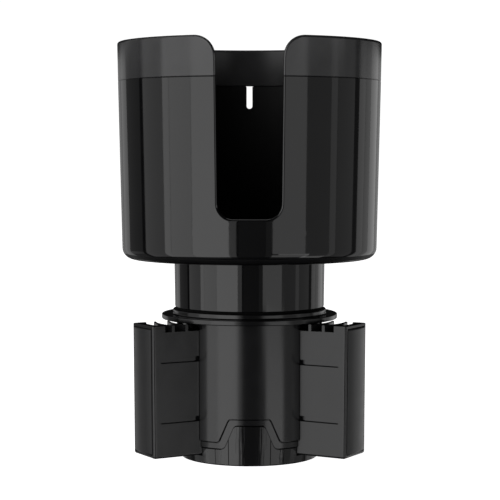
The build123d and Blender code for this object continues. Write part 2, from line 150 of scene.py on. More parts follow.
class CupHolderFinSizes(bpy.types.PropertyGroup):
    """Sizes of the fins and their rubber pads"""

    half_width: size("Half width", "Half of a fin's width", 0.00896)
    inner_end: size("Inner end", "Distance of a fin's inner end from the axis", 0.0205)
    reach: size("Reach", "Distance of a fin's outer corners from the axis", 0.0487)
    bottom: size("Bottom", "Height of a fin's underside", lowest("fin_carrier_left"))
    side_top: size("Side top", "Height of a fin's side walls", 0.0534)
    outer_top: size("Outer top", "Height of a fin's outer block", 0.0559)
    step: size("Step", "Distance of the outer block's step from the axis", 0.0433)
    groove: size("Groove", "Depth of a fin's side grooves", 0.00055)
    groove_shift: size("Groove shift", "How much lower the upper groove sits on a fin's left side", 0.00145)
    lean: size("Lean", "How far the outer face stands back at its lower end", 0.00045)
    pad_half: size("Pad half width", "Half of a rubber pad's width", 0.0074)
    pad_bulge: size("Pad bulge", "How far a pad's middle stands out from the corners", 0.001)


class CupHolderColours(bpy.types.PropertyGroup):
    """Colours of the plastics and the rubber"""

    cup: colour("Cup", "Polished black of the cup, the cover and the cap", "#0b0b0c")
    rim: colour("Rim", "Satin black of the rim ring", "#2d2d2e")
    housing: colour("Housing", "Matte black of the housing", "#121213")
    fin: colour("Fins", "Satin black of the fins", "#141415")
    pad: colour("Pads", "Black of the rubber pads", "#1a1a1b")
    floor: colour("Floor", "Pale studio floor", "#f6f6f6")


def in_mm(group):
    """All lengths of a property group in millimetres, by name."""
    return SimpleNamespace(**{name: getattr(group, name) * 1000 for name in group.__annotations__})


# Surfaces


def polar(angle, radius, height):
    """Points x = r sin a, y = -r cos a, z = h, for whole arrays of angle, radius and height."""
    angle, radius, height = np.broadcast_arrays(angle, radius, height)
    return np.stack([radius * np.sin(angle), -radius * np.cos(angle), height], axis=-1)


def turned(points, degrees):
    """Points turned round the axis: x' = x cos a - y sin a, y' = x sin a + y cos a."""
    a = radians(degrees)
    x, y, z = points[..., 0], points[..., 1], points[..., 2]
    return np.stack([x * cos(a) - y * sin(a), x * sin(a) + y * cos(a), z], axis=-1)


def revolved(radii, heights, angles):
    """Surface of revolution: row i is the circle of radius r_i at height z_i, a column for each angle."""
    radii, heights = np.asarray(radii, float), np.asarray(heights, float)
    return polar(np.asarray(angles)[None, :], radii[:, None], heights[:, None])


def arc(middle_r, middle_z, radius, first, last, steps=8):
    """Points of an arc in a section: r = mr + R cos t, z = mz + R sin t, t in degrees from first to last."""
    t = np.radians(np.linspace(first, last, steps + 1))
    return [(middle_r + radius * cos(a), middle_z + radius * sin(a)) for a in t]


def section(points, angles):
    """Surface of revolution of a section of (r, z) points, closed from its last point to its first."""
    r, z = np.array(points + points[:1]).T
    return revolved(r, z, angles)


def rounded_edge(far_out, edge_out, edge_in, far_in, radius, steps=5):
    """Round band between two skins of a wall. From each skin a conic runs onto the flat between them: P =
    ((1-t)^2 A + 2wt(1-t) C + t^2 B) / the weights' sum, with C the sharp edge and w a circle's weight."""
    across = edge_in - edge_out
    across = across / np.linalg.norm(across, axis=-1, keepdims=True)
    t = np.linspace(0, 1, steps + 1)[None, :, None]

    def quarter(a, control, b):
        weights = (1 - t) ** 2 + 2 * CIRCLE_WEIGHT * t * (1 - t) + t**2
        blend = (1 - t) ** 2 * a[:, None] + 2 * CIRCLE_WEIGHT * t * (1 - t) * control[:, None]
        return (blend + t**2 * b[:, None]) / weights

    first = quarter(far_out, edge_out, edge_out + across * radius)
    last = quarter(edge_in - across * radius, edge_in, far_in)
    return np.concatenate([first, last], axis=1)


def make_piece(name, grids, polygons=(), both=False):
    """One mesh in metres from grids of points in mm, a quad for each cell, and from flat polygons, and if
    asked from their mirror images in x. Coincident points are welded, and the mesh must come out closed."""
    if both:
        flip = np.array([-1.0, 1.0, 1.0])
        grids, polygons = ([*parts, *(part * flip for part in parts)] for parts in (grids, polygons))
    points, faces, start = [], [], 0
    for grid in grids:
        rows, columns = grid.shape[:2]
        index = start + np.arange(rows * columns).reshape(rows, columns)
        cells = np.stack([index[:-1, :-1], index[:-1, 1:], index[1:, 1:], index[1:, :-1]], axis=-1)
        faces += cells.reshape(-1, 4).tolist()
        points.append(grid.reshape(-1, 3))
        start += rows * columns
    for polygon in polygons:
        faces.append(list(range(start, start + len(polygon))))
        points.append(polygon)
        start += len(polygon)
    mesh = bpy.data.meshes.new(name)
    mesh.from_pydata((np.concatenate(points) * MM).tolist(), [], faces)
    work = bmesh.new()
    work.from_mesh(mesh)
    bmesh.ops.remove_doubles(work, verts=work.verts, dist=2e-6)
    bmesh.ops.dissolve_degenerate(work, edges=work.edges, dist=1e-7)
    open_edges = sum(not edge.is_manifold for edge in work.edges)
    bmesh.ops.recalc_face_normals(work, faces=work.faces)
    work.to_mesh(mesh)
    work.free()
    if open_edges:
        raise RuntimeError(f"{name} has {open_edges} edges that don't join two faces")
    mesh.shade_smooth()
    mesh.set_sharp_from_angle(angle=radians(SHARP_TURN))
    piece = bpy.data.objects.new(name, mesh)
    bpy.context.scene.collection.objects.link(piece)
    weighted = piece.modifiers.new("weighted_normals", "WEIGHTED_NORMAL")
    weighted.keep_sharp = True
    return piece


def finish_faces(piece, material, choose):
    """Gives a second material to the faces that a test picks from three arrays: a face's distance from the
    axis and its height, both in mm, and the upward part of its normal."""
    faces = piece.data.polygons
    centres, normals = np.empty((2, len(faces) * 3))
    faces.foreach_get("center", centres)
    faces.foreach_get("normal", normals)
    x, y, z = centres.reshape(-1, 3).T / MM
    piece.data.materials.append(material)
    faces.foreach_set("material_index", choose(np.hypot(x, y), z, normals[2::3]).astype(np.int32))


def settle(piece, node, body, material):
    """Gives a finished piece its material, and its place in the frame."""
    piece.data.materials.append(material)
    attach(piece, body)
    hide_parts(node)


# Materials


def add_node(tree, kind, inputs=()):
    """One shader node. Inputs pair a socket's name with a value or with a socket to link."""
    made = tree.nodes.new(kind)
    for key, value in inputs:
        if isinstance(value, bpy.types.NodeSocket):
            tree.links.new(value, made.inputs[key])
        else:
            made.inputs[key].default_value = value
    return made


def new_material(name):
    """A material, its node tree, its shader and the place on the object that its patterns read."""
    material = bpy.data.materials.new(name)
    material.use_nodes = True
    tree = material.node_tree
    place = add_node(tree, "ShaderNodeTexCoord").outputs["Object"]
    return material, tree, tree.nodes["Principled BSDF"], place


def noise(tree, place, grain, detail=2.0):
    """Noise with grains of a size in mm."""
    inputs = [("Vector", place), ("Scale", 1 / (grain * MM)), ("Detail", detail)]
    return add_node(tree, "ShaderNodeTexNoise", inputs).outputs["Fac"]


def tones(tree, factor, shade, shares):
    """A shade times the first share where the factor is 0, evenly to the second share where it is 1."""
    ramp = add_node(tree, "ShaderNodeValToRGB", [("Fac", factor)])
    for element, share in zip(ramp.color_ramp.elements, shares):
        element.color = (*[c * share for c in shade], 1.0)
    return ramp.outputs["Color"]


def moulded(name, shade, roughness, ripple, grain, depth, ior=1.5, stretch=1.0, metallic=0.0):
    """A moulded or plated surface. Over ripples of a size in mm its roughness wanders between two values and
    its shade by a quarter. On it stands a grain of a size and a depth in mm, stretched upward if asked."""
    found = bpy.data.materials.get(name)
    if found:
        return found
    material, tree, shader, place = new_material(name)
    shader.inputs["IOR"].default_value = ior
    shader.inputs["Metallic"].default_value = metallic
    wander = noise(tree, place, ripple, 3.0)
    limits = [("From Min", 0.3), ("From Max", 0.7), ("To Min", roughness[0]), ("To Max", roughness[1])]
    spread = add_node(tree, "ShaderNodeMapRange", [("Value", wander), *limits])
    drawn = add_node(tree, "ShaderNodeMapping", [("Vector", place), ("Scale", (1.0, 1.0, 1 / stretch))])
    pores = noise(tree, drawn.outputs["Vector"], grain)
    height = [("Height", pores), ("Distance", depth * MM), ("Strength", 1.0)]
    relief = add_node(tree, "ShaderNodeBump", height)
    tree.links.new(spread.outputs["Result"], shader.inputs["Roughness"])
    tree.links.new(tones(tree, wander, shade, (0.75, 1.25)), shader.inputs["Base Color"])
    tree.links.new(relief.outputs["Normal"], shader.inputs["Normal"])
    return material


def shades():
    """The colours of the property group."""
    return bpy.context.scene.cup_holder_colours


def polished_abs():
    """ABS from a polished mould: a mirror that only ripples over centimetres."""
    return moulded("polished_moulded_abs", shades().cup, (0.045, 0.075), 14.0, 3.0, 0.0006)


def soft_polished_abs():
    """ABS from a mould polished by hand on the lathe: its reflections have soft edges."""
    return moulded("soft_polished_abs", shades().cup, (0.14, 0.18), 8.0, 0.8, 0.0008)


def inside_abs():
    """ABS from the plain blasted core of the cup's mould: no clear reflections."""
    return moulded("core_blasted_abs", shades().cup, (0.45, 0.55), 9.0, 0.5, 0.002, ior=1.28)


def draw_polished_abs():
    """ABS from a mould polished along its draw: upright hair lines break the edges of the reflections."""
    return moulded("draw_polished_abs", shades().cup, (0.06, 0.09), 8.0, 0.8, 0.05, stretch=60.0)


def inside_satin_abs():
    """ABS from the blasted core of the rim's mould: duller than the rim's outside."""
    return moulded("core_satin_abs", shades().rim, (0.2, 0.24), 9.0, 0.5, 0.0012, ior=1.37)


def satin_abs():
    """ABS from a fine blasted mould: its reflections keep their place but lose their edges."""
    return moulded("satin_moulded_abs", shades().rim, (0.13, 0.16), 9.0, 0.6, 0.0012)


def spark_eroded_abs():
    """ABS from a spark-eroded mould: an even matte grain, drawn at 0.5 mm so that it shows."""
    return moulded("spark_eroded_abs", shades().housing, (0.16, 0.185), 6.0, 0.5, 0.0015)


def slide_pom():
    """Acetal, moulded for sliding: satin, flat and even."""
    return moulded("satin_moulded_acetal", shades().fin, (0.17, 0.22), 7.0, 0.5, 0.0012, ior=1.48)


def painted_dark_tops_pom():
    """Acetal from a blasted end of the mould on the fins' tops, in the darker black of the cup as painted
    shade: the tops read nearly black.
    """
    return moulded("blasted_acetal_painted_shade", shades().cup, (0.6, 0.7), 7.0, 0.5, 0.002, ior=1.2)


def pad_rubber():
    """Thermoplastic rubber: soft sheen over a dry, fine grain."""
    return moulded("moulded_rubber", shades().pad, (0.3, 0.36), 5.0, 0.6, 0.003, ior=1.52)


def washer_rubber_painted_shade():
    """Washer rubber cut from a matt sheet: its near-black colour is partly the rubber's own and partly
    painted shade of the gap between stem and collar, and it swallows nearly all light.
    """
    return moulded("dry_sheet_rubber_painted_shade", linear("#060606"), (0.9, 1.0), 3.0, 0.4, 0.05, ior=1.2)


def zinc_steel():
    """Zinc-plated screw steel: a bright grey metal with faint cloudy plating."""
    return moulded("zinc_plated_steel", linear("#8a8c8e"), (0.28, 0.4), 1.5, 0.4, 0.002, metallic=1.0)


# Cup and rim ring


def right_columns(front_half, back_half, bottom_cells, side_cells):
    """Angles from the front to the back: even steps in the front frame, in the side and in the back frame."""
    front = np.linspace(0, front_half, bottom_cells + 1)
    side = np.linspace(front_half, pi - back_half, side_cells + 1)
    back = np.linspace(pi - back_half, pi, bottom_cells + 1)
    return np.concatenate([front, side[1:], back[1:]])


def half_outline(half_at, top, bottom, corner, straight, bend, flat):
    """Right half of a slot's outline, from its top down its side, round its corner and to its middle: x, z
    and the direction (nx, nz) into the wall. The corner is the arc x = m + R cos t, z = b + R - R sin t."""
    side = np.linspace(top, bottom + corner, straight + 1)[:-1]
    turn = np.linspace(0, pi / 2, bend + 1)
    middle = half_at(bottom + corner) - corner
    level = np.linspace(middle, 0, flat + 1)[1:]
    x = np.concatenate([half_at(side), middle + corner * np.cos(turn), level])
    z = np.concatenate([side, bottom + corner - corner * np.sin(turn), np.full(flat, bottom)])
    nx = np.concatenate([np.ones(straight), np.cos(turn), np.zeros(flat)])
    nz = np.concatenate([np.zeros(straight), -np.sin(turn), -np.ones(flat)])
    return x, z, nx, nz


def slot_half(s, z):
    """Half width of the handle slot at a height: it widens evenly from its bottom to the top."""
    rise = (z - s.slot_bottom) / (s.top - s.slot_bottom)
    return s.slot_low + (s.slot_high - s.slot_low) * rise


def on_skin(outline, offset, radius_at):
    """Angle asin(x / R) and height of an outline moved into the wall by an offset, on a skin of radius R."""
    x, z, nx, nz = outline
    height = z + offset * nz
    return np.arcsin(np.clip((x + offset * nx) / radius_at(height), -1, 1)), height


def notch_patch(angle, height, half, top, bottom, corner, rows):
    """Angles and heights blended evenly from a notch's outline to a rectangle round it, (1 - v) p + v q: the
    outline up to the corner's cell goes to the rectangle's side, and the rest to its bottom."""
    cells = np.arange(len(angle))
    last = len(angle) - 1
    frame_angle = half * np.interp(cells, [0, corner, last], [1, 1, 0])
    frame_height = np.interp(cells, [0, corner, last], [top, bottom, bottom])
    v = np.linspace(0, 1, rows + 1)[:, None]
    return (1 - v) * angle + v * frame_angle, (1 - v) * height + v * frame_height


def seam_strip(angle_out, angle_in, radius_out, radius_in, level, land, step, near, far):
    """Strip from skin to skin along a wall's edge: chamfers at the skins, a land between them, and on the
    land a step between two shares of the wall."""
    share = np.array([0, 0.1, near, near, far, far, 0.9, 1])
    rise = np.array([0, land, land, step, step, land, land, 0])
    angle = angle_out[:, None] + share * (angle_in - angle_out)[:, None]
    radius = radius_out + share * (radius_in - radius_out)
    return polar(angle, radius[None, :], (level + rise)[None, :])


class CUPHOLDER_OT_cup(bpy.types.Operator):
    """Builds the cup and its hollow stem: a drafted wall with a handle slot, a finger slit and a floor"""

    bl_idname = "cup_holder.cup"
    bl_label = "Cup and stem"

    def execute(self, context):
        s = in_mm(context.scene.cup_holder_cup)
        front_half, back_half, frame_bottom, slit_round = radians(30), radians(10), 90.0, 0.3
        straight, bend, flat, side_cells, rows = 20, 12, 5, 56, 12
        corner_cell, top = straight + bend // 2, s.seam - SEAM_GAP
        draft = (s.radius_high - s.radius_low) / (s.seam - s.underside)

        def outer(z):
            return s.radius_low + draft * (z - s.underside)

        def inner(z):
            return outer(z) - s.wall

        def handle(z):
            return slot_half(s, z)

        def finger(z):
            return np.full_like(z, s.slit_half, dtype=float)

        slot = half_outline(handle, top, s.slot_bottom, s.slot_corner, straight, bend, flat)
        slit = half_outline(finger, top, s.slit_bottom, s.slit_half, straight + flat, bend, 0)
        notches = (slot, s.edge_round, front_half, False), (slit, slit_round, back_half, True)
        side = np.linspace(front_half, pi - back_half, side_cells + 1)
        level = np.linspace(top, frame_bottom, corner_cell + 1)
        grids, polygons, edges = [], [], {}
        for skin in (outer, inner):
            ends = []
            for outline, round_radius, half, behind in notches:
                angle, height = on_skin(outline, round_radius, skin)
                angle, z = notch_patch(angle, height, half, top, frame_bottom, corner_cell, rows)
                angle = pi - angle if behind else angle
                grids.append(polar(angle, skin(z), z))
                ends.append(angle[:, 0])
            grids.append(polar(side[None, :], skin(level)[:, None], level[:, None]))
            edges[skin] = np.concatenate([ends[0], side[1:], ends[1][::-1][1:]])
        for outline, round_radius, half, behind in notches:
            rails = []
            for skin, offset in ((outer, round_radius), (outer, 0), (inner, 0), (inner, round_radius)):
                angle, height = on_skin(outline, offset, skin)
                rails.append(polar(pi - angle if behind else angle, skin(height), height))
            band = rounded_edge(*rails, round_radius)
            grids.append(band)
            polygons.append(band[0])
        tongue = SEAM_GAP, SEAM_GAP + 2.6, 0.33, 0.75
        strip = seam_strip(edges[outer], edges[inner], outer(top), inner(top), top, *tongue)
        grids.append(strip)
        polygons += [strip[0], strip[-1]]
        columns = right_columns(front_half, back_half, bend - bend // 2 + flat, side_cells)
        foot, root, end, inside_round, stem_wall = s.foot_round, 0.8, 0.3, 3.0, 2.2
        underside, floor_top, bore = s.underside, s.underside + s.floor, s.stem_low - stem_wall
        outside = [(outer(frame_bottom), frame_bottom), (outer(87.0), 87.0)]
        outside += arc(outer(underside + foot) - foot, underside + foot, foot, 0, -90, 10)
        outside += [(s.stem_high + 8, underside)]
        outside += arc(s.stem_high + root, underside - root, root, 90, 180, 5)
        outside += arc(s.stem_low - end, s.stem_bottom + end, end, 0, -90, 3)
        outside += [(bore, s.stem_bottom), (bore, underside), (0, underside)]
        inside = [(inner(frame_bottom), frame_bottom)]
        bend_z = floor_top + inside_round
        inside += arc(inner(bend_z) - inside_round, bend_z, inside_round, 0, -90)
        inside += [(20, floor_top), (0, floor_top)]
        grids += [revolved(*np.array(line).T, columns) for line in (outside, inside)]
        piece = make_piece("cup_moulding", grids, polygons, both=True)
        settle(piece, "cup_body", "cup", polished_abs())
        middle = (s.radius_low + s.radius_high) / 2 - s.wall / 2
        finish_faces(piece, inside_abs(), lambda r, z, up: (r < middle) & (z > underside + 1))
        return {"FINISHED"}


class CUPHOLDER_OT_rim(bpy.types.Operator):
    """Builds the rim ring: an open band on the cup with round corners at the slot and a round top edge"""

    bl_idname = "cup_holder.rim"
    bl_label = "Rim ring"

    def execute(self, context):
        s = in_mm(context.scene.cup_holder_cup)
        straight, bend, columns = 8, 14, 70
        flare, radius, inner_radius = s.slot_flare, s.edge_round, s.rim_radius - s.rim_wall
        start, bend_z = s.seam + SEAM_GAP, s.top - flare
        draft = (s.rim_radius - s.radius_high) / (s.top - s.seam)

        def outer(z):
            return s.radius_high + draft * (z - s.seam)

        def inner(z):
            return np.full_like(z, inner_radius, dtype=float)

        side = np.linspace(start, bend_z, straight + 1)[:-1]
        turn = np.linspace(0, pi / 2, bend + 1)
        outline = (
            np.concatenate([slot_half(s, side), s.slot_high + flare - flare * np.cos(turn)]),
            np.concatenate([side, bend_z + flare * np.sin(turn)]),
            np.concatenate([np.ones(straight), np.cos(turn)]),
            np.concatenate([np.zeros(straight), -np.sin(turn)]),
        )
        share = np.linspace(0, 1, columns + 1) ** 1.25
        grids, polygons, rails, edges = [], [], [], {}
        for skin, offset in ((outer, radius), (outer, 0), (inner, 0), (inner, radius)):
            angle, height = on_skin(outline, offset, skin)
            spread = angle[:, None] + share * (pi - angle)[:, None]
            rows = polar(spread, skin(height)[:, None], height[:, None])
            rails.append(np.concatenate([rows[:, 0], rows[-1, 1:]]))
            if offset:
                grids.append(rows)
                edges[skin] = spread[0]
        band = rounded_edge(*rails, radius)
        grids.append(band)
        recess = -SEAM_GAP, 2.7, 0.28, 0.66
        strip = seam_strip(edges[outer], edges[inner], outer(start), inner_radius, start, *recess)
        grids.append(strip)
        polygons += [band[0], strip[0]]
        piece = make_piece("rim_moulding", grids, polygons, both=True)
        settle(piece, "rim_ring", "cup", satin_abs())
        finish_faces(piece, inside_satin_abs(), lambda r, z, up: (r < inner_radius + 0.2) & (z > start))
        return {"FINISHED"}


# Base


def stepped_line(x, low, high, half_low, half_high, corner=1.6):
    """Height of a stepped edge at a half width |x|: high in the middle, low outside, a slope between, and at
    its corners quadratic curves, P = (1-t)^2 A + 2t(1-t) C + t^2 B."""
    slope = np.array([half_low - half_high, low - high])
    slope = slope / np.linalg.norm(slope)
    cut = corner * tan(np.arccos(slope[0]) / 2)
    t = np.linspace(0, 1, 7)[:, None]
    bends = []
    for point, before, after in (
        (np.array([half_high, high]), np.array([-1.0, 0.0]), slope),
        (np.array([half_low, low]), -slope, np.array([1.0, 0.0])),
    ):
        a, b = point + cut * before, point + cut * after
        bends.append((1 - t) ** 2 * a + 2 * t * (1 - t) * point + t**2 * b)
    line = np.concatenate([[[0.0, high]], *bends, [[60.0, low]]])
    return np.interp(np.abs(x), line[:, 0], line[:, 1])


def sector_loop(radius, channel, arc_cells, side_cells):
    """Plan of a sector between two channels: its arc from side to side, then straight along one channel to
    the apex and back along the other. A channel's face meets the circle at 60 degrees less asin(c / R)."""
    reach = pi / 3 - asin(channel / radius)
    along = np.linspace(-reach, reach, arc_cells + 1)
    bow = np.stack([radius * np.sin(along), -radius * np.cos(along)], axis=-1)
    apex = np.array([0.0, -channel / sin(pi / 3)])
    t = np.linspace(0, 1, side_cells + 1)[:, None]
    away = bow[-1] + t * (apex - bow[-1])
    back = apex + t * (bow[0] - apex)
    return np.concatenate([bow, away, back[1:]])


class CUPHOLDER_OT_housing(bpy.types.Operator):
    """Builds the slotted housing: three sectors between the fins, a floor, a centre post and screw bosses"""

    bl_idname = "cup_holder.housing"
    bl_label = "Base housing"

    def execute(self, context):
        s = in_mm(context.scene.cup_holder_base)
        radius, channel, top = s.radius, s.channel_half, s.flange_underside
        band, cover_seat, recess, seat, inside = s.band_radius, 29.0, 28.3, 26.47, radius - s.wall
        guide_top, shelf, lower_pocket, pocket = 53.4, 20.4, 24.87, channel + 1.2
        base, floor_low, floor_top, arc_cells, side_cells, edge = 3.0, 1.4, 3.2, 110, 8, 0.34
        loop = sector_loop(radius, channel, arc_cells, side_cells)[: arc_cells + 1]
        upper = stepped_line(loop[:, 0], *BAND_STEP)
        lower = stepped_line(loop[:, 0], *CAP_STEP, CAP_CORNER)
        ledge = top - 2.7
        levels = [
            (inside, pocket, ledge, guide_top),
            (cover_seat, channel, ledge, guide_top),
            (cover_seat, channel, top, guide_top),
            (radius, channel, top, guide_top),
            (radius, channel, upper + edge, 9.4),
            (radius - 0.1, channel, upper + 0.09, 9.3),
            (radius - edge, channel, upper, 9.2),
            (recess, channel, upper, 9.2),
            (recess, channel, upper - 0.3, 9.0),
            (band - 0.12, channel, upper - 0.3, 9.0),
            (band, channel, upper - 0.42, 8.9),
            (band, channel, lower + 0.24, 6.85),
            (band - 0.24, channel, lower, 6.7),
            (seat, channel, lower, 6.7),
            (seat, channel, base, base),
            (lower_pocket, pocket, base, base),
            (lower_pocket, pocket, shelf, shelf),
            (inside, pocket, shelf, shelf),
        ]
        rows = []
        for level_radius, face, arc_height, side_height in levels + levels[:1]:
            plan = sector_loop(level_radius, face, arc_cells, side_cells)
            height = np.full(len(plan), side_height)
            height[: arc_cells + 1] = arc_height
            rows.append(np.column_stack([plan, height]))
        sector = np.stack(rows)
        sector = np.concatenate([sector, sector[:, :1]], axis=1)
        grids = [turned(sector, turn) for turn in GAP_TURNS]
        ring, root = np.linspace(0, 2 * pi, 121), floor_top - 0.1
        disc = [(0, floor_low), (seat, floor_low), (seat, floor_top), (0, floor_top)]
        post_radius, post_top, bore, bore_floor = 4.6, 53.0, 3.08, 46.0
        post = [(0, root), (post_radius, root), (post_radius, post_top)]
        post += [(bore, post_top), (bore, bore_floor), (0, bore_floor)]
        grids += [revolved(*np.array(line).T, ring) for line in (disc, post)]
        hole, boss_radius, boss_top = 1.35, 3.0, 15.2
        boss = [(hole, root), (boss_radius, root), (boss_radius, boss_top), (hole, boss_top)]
        stud = section(boss, np.linspace(0, 2 * pi, 33)) - np.array([0, SCREW_CIRCLE, 0])
        grids += [turned(stud, turn) for turn in GAP_TURNS]
        piece = make_piece("housing_moulding", grids)
        settle(piece, "base_housing", "base", spark_eroded_abs())
        return {"FINISHED"}


def countersunk_sector(turn, ring, bottom, top):
    """Third of a plate with a countersunk hole: from the sector's outline on the underside over the hole's
    cone to the outline on the upper face. An outline point o goes to the hole's point on its own side, p = c
    + R (o - c) / |o - c|. Bottom and top are pairs of the plate's radius and height there."""
    centre, head, shank, cone = polar(turn, SCREW_CIRCLE, 0.0), 2.75, 1.35, 1.3
    spokes = np.linspace(0, 1, 13)
    side = np.full(len(spokes), pi / 3)
    angles = np.concatenate([turn - side, ring[1:-1], turn + side])
    shares = np.concatenate([spokes, np.ones(len(ring) - 2), spokes[::-1]])
    rows = []
    for (radius, height), holes in ((bottom, [(head, bottom[1])]), (top, [(shank, cone), (shank, top[1])])):
        outline = polar(angles, radius * shares, height)
        away = outline - centre - np.array([0, 0, height])
        away = away / np.linalg.norm(away, axis=-1, keepdims=True)
        around = [centre + hole * away + np.array([0, 0, z]) for hole, z in holes]
        rows += [outline, *around] if height == bottom[1] else [*around, outline]
    return np.stack(rows)


class CUPHOLDER_OT_cap(bpy.types.Operator):
    """Builds the bottom cap: a dish whose wall steps up between the fins, with mould lines on each hump"""

    bl_idname = "cup_holder.cap"
    bl_label = "Bottom cap"

    def execute(self, context):
        s = in_mm(context.scene.cup_holder_base)
        radius, foot, floor_top, gap, between = s.cap_radius, s.cap_foot, 1.4, 0.3, 3.2
        reach = pi / 3 - asin(s.channel_half / radius)
        line_width, line_depth, line_side = 0.26, 0.2, 0.0003
        marks = []
        for middle in (-13.6, -8.4, 8.4, 13.6):
            near, far = (asin((middle + h) / radius) for h in (-line_width / 2, line_width / 2))
            marks += [(near - line_side, 0), (near, 1), (far, 1), (far + line_side, 0)]
        hump, mark = np.array(sorted([(a, 0) for a in np.linspace(-reach, reach, 120)] + marks)).T
        low = np.linspace(reach, 2 * pi / 3 - reach, 15)
        crest = stepped_line(radius * np.sin(hump), *CAP_STEP, CAP_CORNER) - gap
        angle = np.concatenate([radians(turn) + np.append(hump, low) for turn in GAP_TURNS])
        top = np.tile(np.append(crest, np.full_like(low, between)), 3)
        cut = np.tile(np.append(mark * line_depth, np.zeros_like(low)), 3)
        angle, top, cut = (np.append(values, values[0]) for values in (angle, top, cut))

        def skin(z):
            return foot + (radius - foot) * np.clip(z / CAP_STEP[0], 0, 1)

        inner, edge = radius - 1.9, foot - 0.55
        rows = [
            (edge, 0),
            (foot - 0.4, 0.05),
            (skin(0.5), 0.5),
            (skin(0.7) - cut, 0.7),
            (skin(top - 0.25) - cut, top - 0.25),
            (skin(top - 0.06) - 0.07, top - 0.06),
            (skin(top) - 0.25, top),
            (inner, top),
            (inner, floor_top),
        ]
        grids = [np.stack([polar(angle, r, z) for r, z in rows])]
        for turn in np.radians(GAP_TURNS):
            away = (angle[:-1] - turn + pi) % (2 * pi) - pi
            ring = turn + np.sort(away[np.abs(away) < pi / 3 + 1e-6])
            grids.append(countersunk_sector(turn, ring, (edge, 0.0), (inner, floor_top)))
        piece = make_piece("cap_moulding", grids)
        settle(piece, "bottom_cap", "base", draw_polished_abs())
        return {"FINISHED"}


class CUPHOLDER_OT_cover(bpy.types.Operator):
    """Builds the base cover: a round-edged flange, a collar and the neck bore"""

    bl_idname = "cup_holder.cover"
    bl_label = "Base cover"

    def execute(self, context):
        s = in_mm(context.scene.cup_holder_base)
        bore, recess, ceiling, edge, root, collar_edge = 25.3, 28.1, 58.3, 0.4, 0.5, 0.5
        low, high, top = s.flange_underside, s.flange_top, s.collar_top
        flange, collar = s.flange_radius, s.collar_radius
        lip, lip_radius = s.flange_lip, s.radius + 0.4
        line = [(bore, ceiling), (recess, ceiling), (recess, low), (lip_radius, low), (lip_radius, lip)]
        line += arc(flange - edge, lip + edge, edge, -90, 0, 6)
        line += arc(flange - edge, high - edge, edge, 0, 90, 6)
        line += arc(collar + root, high + root, root, 270, 180, 4)
        line += arc(collar - collar_edge, top - collar_edge, collar_edge, 0, 90, 6)
        line += [(bore, top)]
        piece = make_piece("cover_moulding", [section(line, np.linspace(0, 2 * pi, 181))])
        settle(piece, "base_cover", "base", soft_polished_abs())
        return {"FINISHED"}


# Fins


def fin_place(points, side):
    """Points of a fin, given as distances outward and sideways and height, at its place round the axis: x = u
    sin a + v cos a, y = -u cos a + v sin a."""
    a = radians(FIN_TURNS[side])
    out, across, z = np.moveaxis(points, -1, 0)
    return np.stack([out * sin(a) + across * cos(a), -out * cos(a) + across * sin(a), z], axis=-1)


def leaned(points, s):
    """Points of a fin, its outer face drawn in by the lean at the bottom and evenly less toward the top. The
    lean begins at a start from the axis and is whole a short length further out."""
    start, length = 45.0, 1.5
    share = np.clip((points[..., 0] - start) / length, 0, 1) * (1 - points[..., 2] / s.outer_top)
    return points - s.lean * share[..., None] * np.array([1.0, 0.0, 0.0])


def fin_outline(s, window, groove_end, seat_half):
    """Plan of a fin, once round: along one side from its inner end, round the outer corner, over the outer
    face and back. Returns the points, their outward directions, and which of them are in a groove, in a
    window, in the tall outer block and in the pad's seat."""
    corner = 0.9
    edge, reach, inner = s.half_width, s.reach, s.inner_end
    stops = [inner, 22.0, window[0], window[0], window[1], window[1], 34.0, 38.0, s.step, s.step]
    stops += [groove_end, groove_end, 47.2, reach - corner]
    side = [(r, edge, 0.0, 1.0) for r in stops]
    turn = np.linspace(pi / 2, 0, 9)[1:]
    bend = [(reach - corner * (1 - cos(t)), edge - corner * (1 - sin(t)), cos(t), sin(t)) for t in turn]
    face = [(reach, y, 1.0, 0.0) for y in (seat_half, seat_half, 4.0)]
    half = side + bend + face
    # By their place in the list: the stops of the groove, the window, the tall block and the seat
    stop = np.arange(len(half))
    marks = stop < 11, (stop > 2) & (stop < 5), stop > 8, stop > len(side) + len(bend)
    other = [(r, -y, nr, -ny) for r, y, nr, ny in reversed(half)]
    points = np.array(half + other)
    return points[:, :2], points[:, 2:], *(np.append(mark, mark[::-1]).astype(float) for mark in marks)


